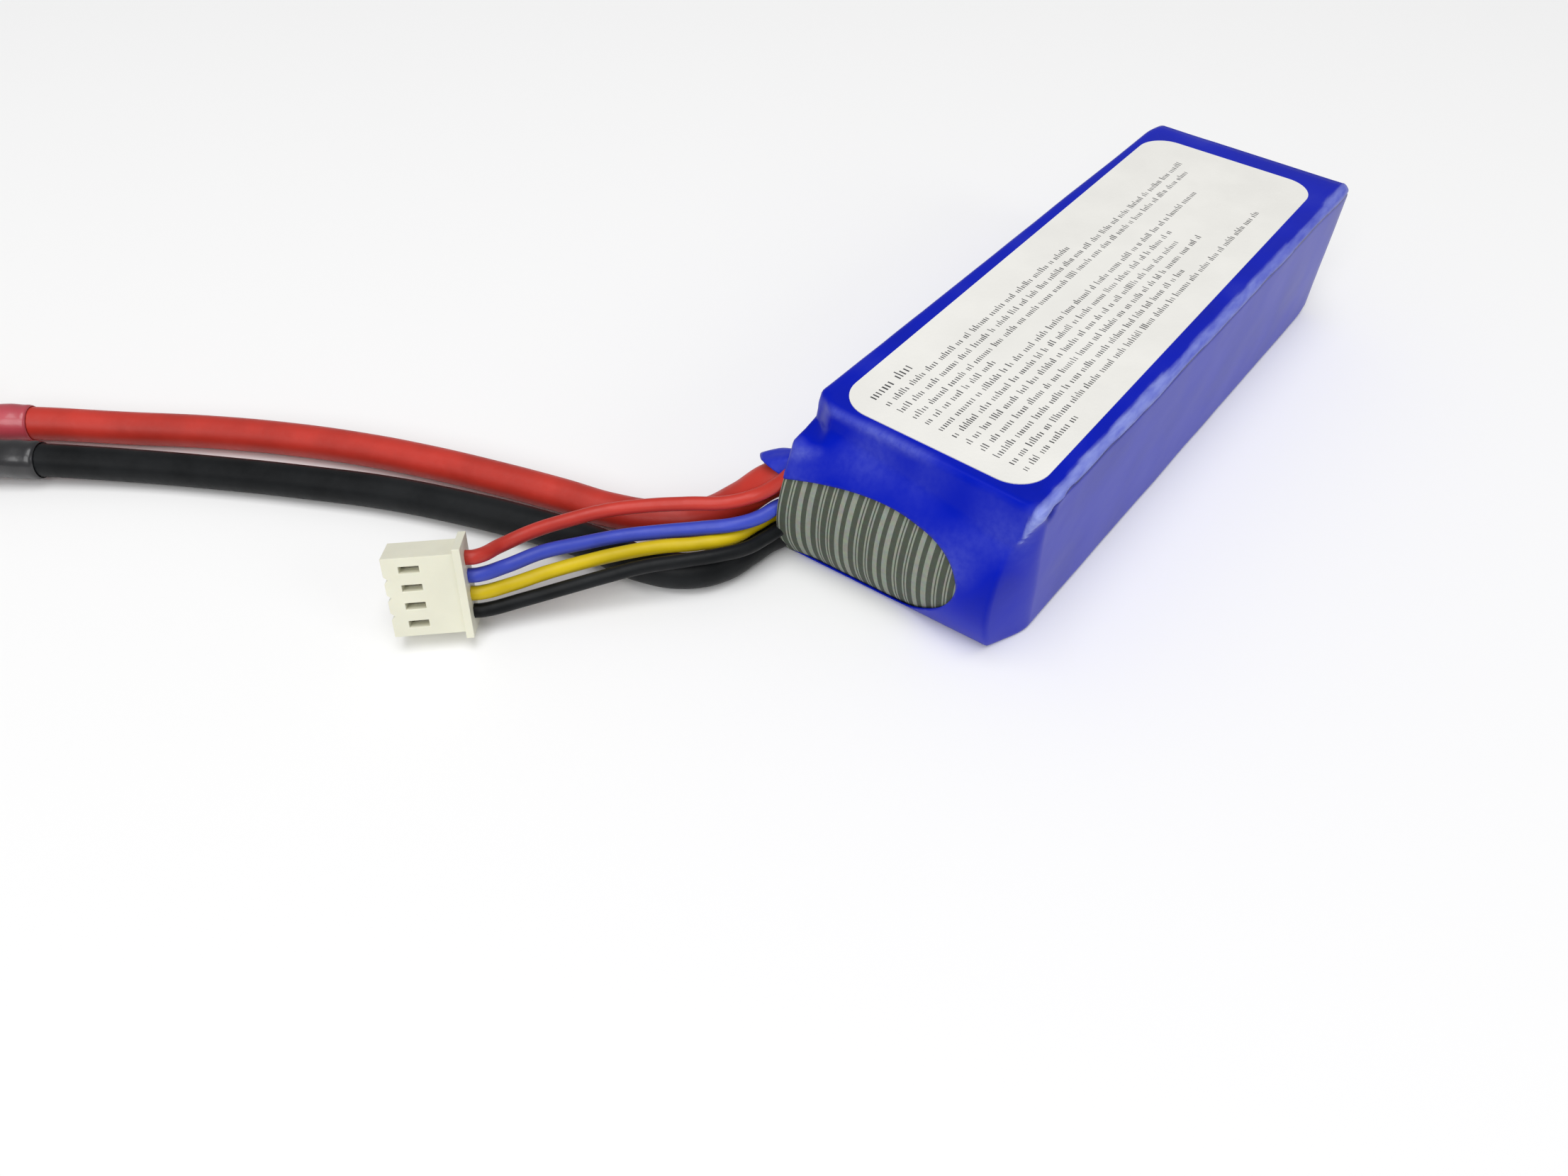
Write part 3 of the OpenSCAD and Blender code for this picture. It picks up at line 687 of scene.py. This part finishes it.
def add_lip(finish):
    """The film's curled end, which hoods the main red lead where it leaves the pack."""
    path = spline(MAIN_RED_ROUTE[1:5], 12)[10:26]
    last = len(path) - 1
    bm = bmesh.new()
    rows = []
    for j in range(29):
        turn = j / 28
        angle = math.radians(38 + 150 * turn)
        reach = 0.45 + 0.4 * math.sin(math.pi * turn)
        row = []
        for i in range(15):
            t = i / 14
            at = reach * t * last
            k = min(int(at), last - 1)
            p = path[k].lerp(path[k + 1], at - k)
            ahead = (path[k + 1] - path[k]).normalized()
            across = Vector((0, 0, 1)).cross(ahead).normalized()
            over = ahead.cross(across)
            lift = math.sin(math.pi * turn) ** 0.7 * (0.3 + 0.9 * t)
            r = MAIN_D / 2 + 0.2 + lift + 0.2 * noise.noise(Vector((t * 3, turn * 6, 1)))
            row.append(bm.verts.new((p + r * (math.cos(angle) * across + math.sin(angle) * over)) * MM))
        rows.append(row)
    for a, b in zip(rows, rows[1:]):
        for i in range(14):
            bm.faces.new((a[i], a[i + 1], b[i + 1], b[i]))
    bmesh.ops.recalc_face_normals(bm, faces=bm.faces)
    lip = mesh_object("film_lip", bm)
    layer = lip.data.attributes.new("whitening_and_painted_light", "FLOAT", "POINT")
    layer.data.foreach_set("value", [0.25] * len(lip.data.vertices))
    skin = lip.modifiers.new("thickness", "SOLIDIFY")
    skin.thickness = FILM_T * MM
    skin.offset = 0
    place(lip, slot="shrink_film", finish=finish)


def add_film():
    """The shrink film with its opening, and the lip at the leads."""
    flat, quads = film_lattice()
    kept = cut_opening(flat, quads)
    bm = bmesh.new()
    used = sorted({n for q in kept for n in q})
    verts = {n: bm.verts.new(film_shape(flat[n]) * MM) for n in used}
    for q in kept:
        bm.faces.new([verts[n] for n in q])
    film = mesh_object("shrink_film", bm)
    film_details(film.data)
    skin = film.modifiers.new("thickness", "SOLIDIFY")
    skin.thickness = FILM_T * MM
    skin.offset = -1
    finish = film_material()
    place(film, "shrink_wrap", slot="shrink_film", finish=finish)
    add_lip(finish)


# ---------------------------------------------------------------- striped paper


def stripe_material():
    """Grey-green paper with pale bands that run up the nose."""
    made = material("striped_paper", (0.1, 0.12, 0.09), rough=0.75, grain=0.4, grain_scale=2500)
    tree = made.node_tree
    shader = tree.nodes["Principled BSDF"]
    coords = tree.nodes.new("ShaderNodeTexCoord")
    parts = tree.nodes.new("ShaderNodeSeparateXYZ")
    tree.links.new(coords.outputs["Object"], parts.inputs["Vector"])
    period = 5.8 * MM
    wrap = tree.nodes.new("ShaderNodeMath")
    wrap.operation = "FLOORED_MODULO"
    wrap.inputs[1].default_value = period
    tree.links.new(parts.outputs["Y"], wrap.inputs[0])
    scale = tree.nodes.new("ShaderNodeMath")
    scale.operation = "DIVIDE"
    scale.inputs[1].default_value = period
    tree.links.new(wrap.outputs["Value"], scale.inputs[0])
    ramp = tree.nodes.new("ShaderNodeValToRGB")
    ramp.color_ramp.interpolation = "CONSTANT"
    dark, pale = (0.072, 0.088, 0.062, 1), (0.33, 0.36, 0.30, 1)
    bands = [(0.0, pale), (0.13, dark), (0.25, pale), (0.36, dark), (0.49, pale), (0.53, dark),
             (0.56, pale), (0.60, dark), (0.74, pale), (0.78, dark), (0.81, pale), (0.86, dark)]
    ramp.color_ramp.elements[0].color = dark
    ramp.color_ramp.elements.remove(ramp.color_ramp.elements[1])
    for at, color in bands:
        ramp.color_ramp.elements.new(at).color = color
    tree.links.new(scale.outputs["Value"], ramp.inputs["Fac"])
    worn = noise_node(tree, coords, 1500, 5)
    fleck = tree.nodes.new("ShaderNodeMix")
    fleck.data_type = "RGBA"
    fleck.blend_type = "MULTIPLY"
    fleck.inputs["Factor"].default_value = 0.45
    tree.links.new(ramp.outputs["Color"], fleck.inputs[6])
    tree.links.new(worn.outputs["Color"], fleck.inputs[7])
    tree.links.new(fleck.outputs[2], shader.inputs["Base Color"])
    return made


def add_paper():
    """The paper behind the opening, which the leads push out at its free edge."""
    bm = bmesh.new()
    ys = [-12.4 + 28.8 * i / 96 for i in range(97)]
    angles = [math.radians(a) for a in np.linspace(-31.9, 38, 64)]
    grid = []
    for y in ys:
        flare = 0.85 * smooth_step((y - 11.5) / 5)
        row = []
        for a in angles:
            z = NOSE_Z + 15.45 * math.sin(a)
            x = nose_x(y, z, 15.45) - flare * math.exp(-((z - 6.5) / 8) ** 2)
            x += 0.04 * noise.noise(Vector((y * 0.3, z * 0.3, 2)))
            row.append(bm.verts.new(Vector((x, y, z)) * MM))
        grid.append(row)
    for a, b in zip(grid, grid[1:]):
        for k in range(len(a) - 1):
            bm.faces.new((a[k], b[k], b[k + 1], a[k + 1]))
    bmesh.ops.recalc_face_normals(bm, faces=bm.faces)
    paper = mesh_object("striped_paper", bm)
    skin = paper.modifiers.new("thickness", "SOLIDIFY")
    skin.thickness = 0.2 * MM
    skin.offset = 0
    place(paper, "end_paper", slot="striped_paper", finish=stripe_material())


# ---------------------------------------------------------------- label


def add_print():
    """Rows of plain tick marks on the label, in place of its printing."""
    random.seed(7)
    low, high = (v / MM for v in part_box("label"))
    turn = Matrix.Translation((1.3, 0.5, 0)) @ Matrix.Rotation(math.radians(0.75), 4, "Z")
    rows = [(11.2, 6.5, 1.5, 0.30), (8.9, 44, 1.0, 0.2), (6.9, 80, 1.0, 0.2), (4.9, 76, 1.0, 0.2),
            (3.1, 14, 1.0, 0.2), (1.1, 70, 1.0, 0.2), (-0.9, 60, 1.0, 0.2), (-2.9, 56, 1.0, 0.2),
            (-4.9, 62, 1.0, 0.2), (-6.9, 50, 1.0, 0.2), (-8.9, 74, 1.0, 0.2), (-10.7, 12, 1.0, 0.2)]
    bm = bmesh.new()
    for y, length, height, stroke in rows:
        x = low.x + 3.5 - 1.3
        stop = min(x + length, high.x - 6)
        while x < stop:
            for _ in range(random.randint(2, 9)):
                tall = height * random.choice((0.62, 0.62, 0.7, 1.0))
                box_at(bm, turn @ Vector((x, y - 0.5 + tall / 2 - height / 2, high.z)),
                       (stroke * random.uniform(0.6, 1.0), tall, 0.02))
                x += stroke * random.uniform(1.9, 2.7)
            x += stroke * 3
    marks = mesh_object("label_print", bm, smooth=False)
    ink = material("label_ink", (0.05, 0.05, 0.055), rough=0.6, vary=0.3)
    place(marks, slot="label_paper", finish=ink)


def box_at(bm, centre, size):
    """A small box in a bmesh, in millimetres."""
    for v in bmesh.ops.create_cube(bm, size=1)["verts"]:
        v.co = (Vector([a * b for a, b in zip(v.co, size)]) + centre) * MM


# ---------------------------------------------------------------- carried-over pieces


def refined(node, bevel, slot, finish):
    """A CAD piece with its edges broken, as a moulded or stamped part has them."""
    source = nodes[node].data
    bm = bmesh.new()
    bm.from_mesh(source)
    bmesh.ops.remove_doubles(bm, verts=bm.verts, dist=1e-6)
    bmesh.ops.dissolve_limit(bm, angle_limit=math.radians(1), verts=bm.verts, edges=bm.edges)
    obj = mesh_object(node + "_shape", bm, smooth=False)
    edge = obj.modifiers.new("edges", "BEVEL")
    edge.width = bevel * MM
    edge.segments = 3
    edge.limit_method = "ANGLE"
    edge.angle_limit = math.radians(35)
    weld = obj.modifiers.new("weld", "WELD")
    weld.merge_threshold = 0.005 * MM
    place(obj, node, slot=slot, finish=finish)
    return obj


def finish_node(name, finish):
    """Gives a carried-over CAD node its material."""
    data = nodes[name].data
    data.materials.clear()
    data.materials.append(finish)


def add_hard_parts():
    """The plug and the power connector; returns the pieces of each."""
    ivory = material("plug_nylon", (0.77, 0.76, 0.62), rough=0.38, grain=0.3, vary=0.04,
                     scatter=0.15)
    tin = material("terminal_tin", (0.55, 0.53, 0.48), rough=0.3, metal=1, grain=0.5, vary=0.15)
    nylon = material("connector_nylon", (0.72, 0.40, 0.03), rough=0.42, grain=0.4, vary=0.05)
    gold = material("contact_gold", (0.83, 0.58, 0.22), rough=0.22, metal=1, grain=0.3, vary=0.1)
    plug = [refined("balance_plug_housing", 0.12, "plug_nylon", ivory)]
    power = [refined("power_connector_housing", 0.25, "connector_nylon", nylon)]
    for name in ("power_contact_positive", "power_contact_negative"):
        finish_node(name, gold)
        power.append(nodes[name])
    for color in ("red", "blue", "yellow", "black"):
        name = f"plug_terminal_{color}"
        finish_node(name, tin)
        plug.append(nodes[name])
    return plug, power


def add_inner_parts():
    foil = material("cell_foil", (0.62, 0.63, 0.65), rough=0.35, metal=0.9, grain=0.6, vary=0.08)
    foam = material("foam", (0.03, 0.03, 0.033), rough=0.95, grain=1.0, grain_scale=1800, vary=0.3)
    tape = material("cell_tape", (0.75, 0.75, 0.7), rough=0.7, grain=0.4, vary=0.06)
    nickel = material("tab_nickel", (0.58, 0.56, 0.5), rough=0.3, metal=1, grain=0.3, vary=0.1)
    aluminium = material("tab_aluminium", (0.72, 0.73, 0.74), rough=0.34, metal=1, grain=0.3,
                         vary=0.08)
    film = material("tab_film", (0.7, 0.66, 0.52), rough=0.4, grain=0.3, vary=0.08)
    board = material("board", (0.01, 0.11, 0.03), rough=0.35, coat=0.4, grain=0.3, vary=0.15)
    solder = material("solder", (0.6, 0.6, 0.6), rough=0.28, metal=1, grain=0.6, vary=0.1)
    copper = material("copper_strand", (0.62, 0.38, 0.22), rough=0.35, metal=1, grain=0.8,
                      vary=0.15)
    paper = material("label_paper", (0.83, 0.82, 0.78), rough=0.45, grain=0.25,
                     grain_scale=2200, vary=0.025)
    finishes = {"cell_foil": foil, "foam": foam, "cell_tape": tape, "tab_nickel": nickel,
                "tab_aluminium": aluminium, "tab_film": film, "board": board, "solder": solder,
                "copper_strand": copper, "label_paper": paper}
    for part in frame["record"]["subparts"]:
        if part["material_slot"] in finishes:
            finish_node(part["node"], finishes[part["material_slot"]])


add_camera()
plug_pieces, power_pieces = add_hard_parts()
add_leads(power_pieces + add_sleeves())
add_film()
add_paper()
add_print()
add_inner_parts()
add_surroundings()
